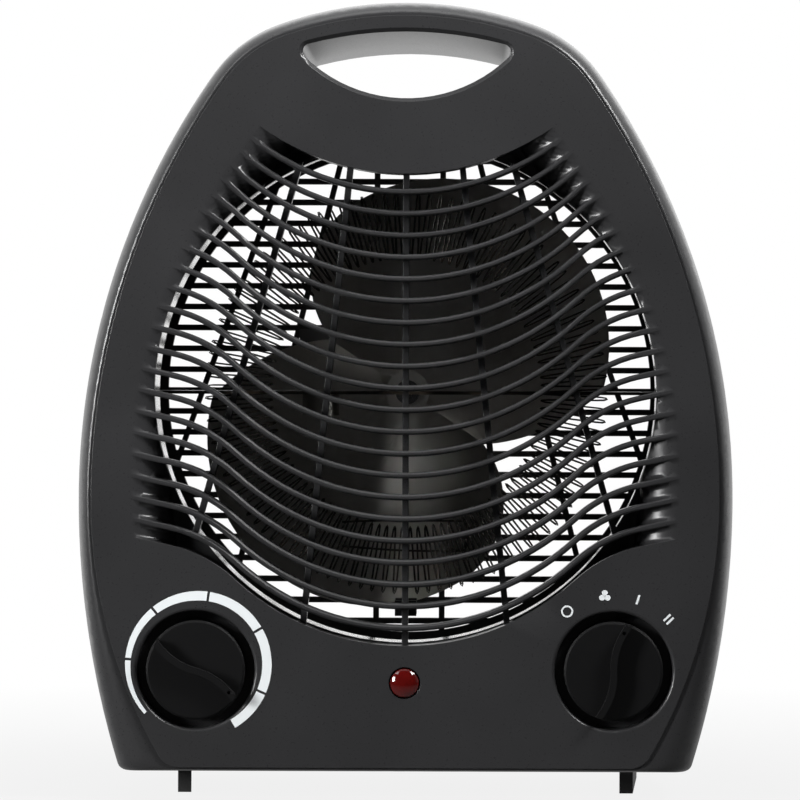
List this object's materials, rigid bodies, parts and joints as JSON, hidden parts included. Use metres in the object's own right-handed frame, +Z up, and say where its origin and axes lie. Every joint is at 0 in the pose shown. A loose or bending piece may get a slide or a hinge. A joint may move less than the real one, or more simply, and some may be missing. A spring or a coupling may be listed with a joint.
{
  "type": "fan heater",
  "caption": "Upright fan heater: arched casing with carry handle, curved slatted outlet, folded-wire element ring, propeller fan, thermostat and selector knobs.",
  "frame": {"origin": "on the floor under the middle of the heater's box", "axes": "+Z up, -Y out of the front grille, +X to the right seen from the front"},
  "size_m": [0.2116, 0.12, 0.2574],
  "materials": {
    "casing_plastic": "fine matte moulding grain",
    "knob_plastic": "satin black",
    "foot_plastic": "satin black",
    "zinc_steel": "zinc plated",
    "duct_steel": "bright aluminised sheet",
    "mica": "pressed mica sheet",
    "element_wire": "oxidised resistance wire",
    "brass": "bright",
    "cutout_steel": "nickel plated can",
    "core_steel": "lacquered laminations",
    "bobbin_plastic": "natural nylon",
    "copper": "enamelled copper wire",
    "bronze": "sintered bronze",
    "shaft_steel": "ground",
    "fan_aluminium": "brushed sheet",
    "spindle_plastic": "natural nylon",
    "bakelite": "moulded phenolic",
    "red_lens": "polished translucent red",
    "socket_plastic": "natural nylon",
    "grommet_rubber": "moulded"
  },
  "bodies": {
    "housing": {"front_shell": "casing_plastic", "rear_shell": "casing_plastic", "left_foot": "foot_plastic", "right_foot": "foot_plastic", "case_screws": "zinc_steel", "duct_screws": "zinc_steel", "motor_bolts": "zinc_steel", "motor_front_bridge": "zinc_steel", "motor_rear_bridge": "zinc_steel", "control_nuts": "zinc_steel", "heat_duct": "duct_steel", "mica_upright": "mica", "mica_level": "mica", "element_front": "element_wire", "element_rear": "element_wire", "element_terminals": "brass", "selector_tabs": "brass", "thermostat_bush": "brass", "selector_bush": "brass", "thermostat_strips": "brass", "thermal_cutout": "cutout_steel", "motor_core": "core_steel", "motor_bobbin": "bobbin_plastic", "motor_winding": "copper", "front_bearing": "bronze", "rear_bearing": "bronze", "thermostat_base": "bakelite", "selector_case": "bakelite", "lamp_lens": "red_lens", "lamp_socket": "socket_plastic", "terminal_block": "socket_plastic", "cord_bushing": "grommet_rubber"},
    "fan_rotor": {"motor_rotor": "core_steel", "motor_shaft": "shaft_steel", "fan": "fan_aluminium", "fan_clip": "shaft_steel"},
    "thermostat_dial": {"thermostat_knob": "knob_plastic", "thermostat_spindle": "spindle_plastic"},
    "selector_dial": {"selector_knob": "knob_plastic", "selector_spindle": "spindle_plastic"}
  },
  "joints": [
    {"name": "fan_spin", "type": "hinge", "parent": "housing", "child": "fan_rotor", "pos_m": [0, 0, 0.1311], "axis": [0, -1, 0], "continuous": true},
    {"name": "thermostat_turn", "type": "hinge", "parent": "housing", "child": "thermostat_dial", "pos_m": [-0.067, -0.05, 0.0422], "axis": [0, -1, 0], "range_deg": [-20.2, 256.1]},
    {"name": "selector_turn", "type": "hinge", "parent": "housing", "child": "selector_dial", "pos_m": [0.067, -0.05, 0.0422], "axis": [0, -1, 0], "range_deg": [-27, 55]}
  ]
}
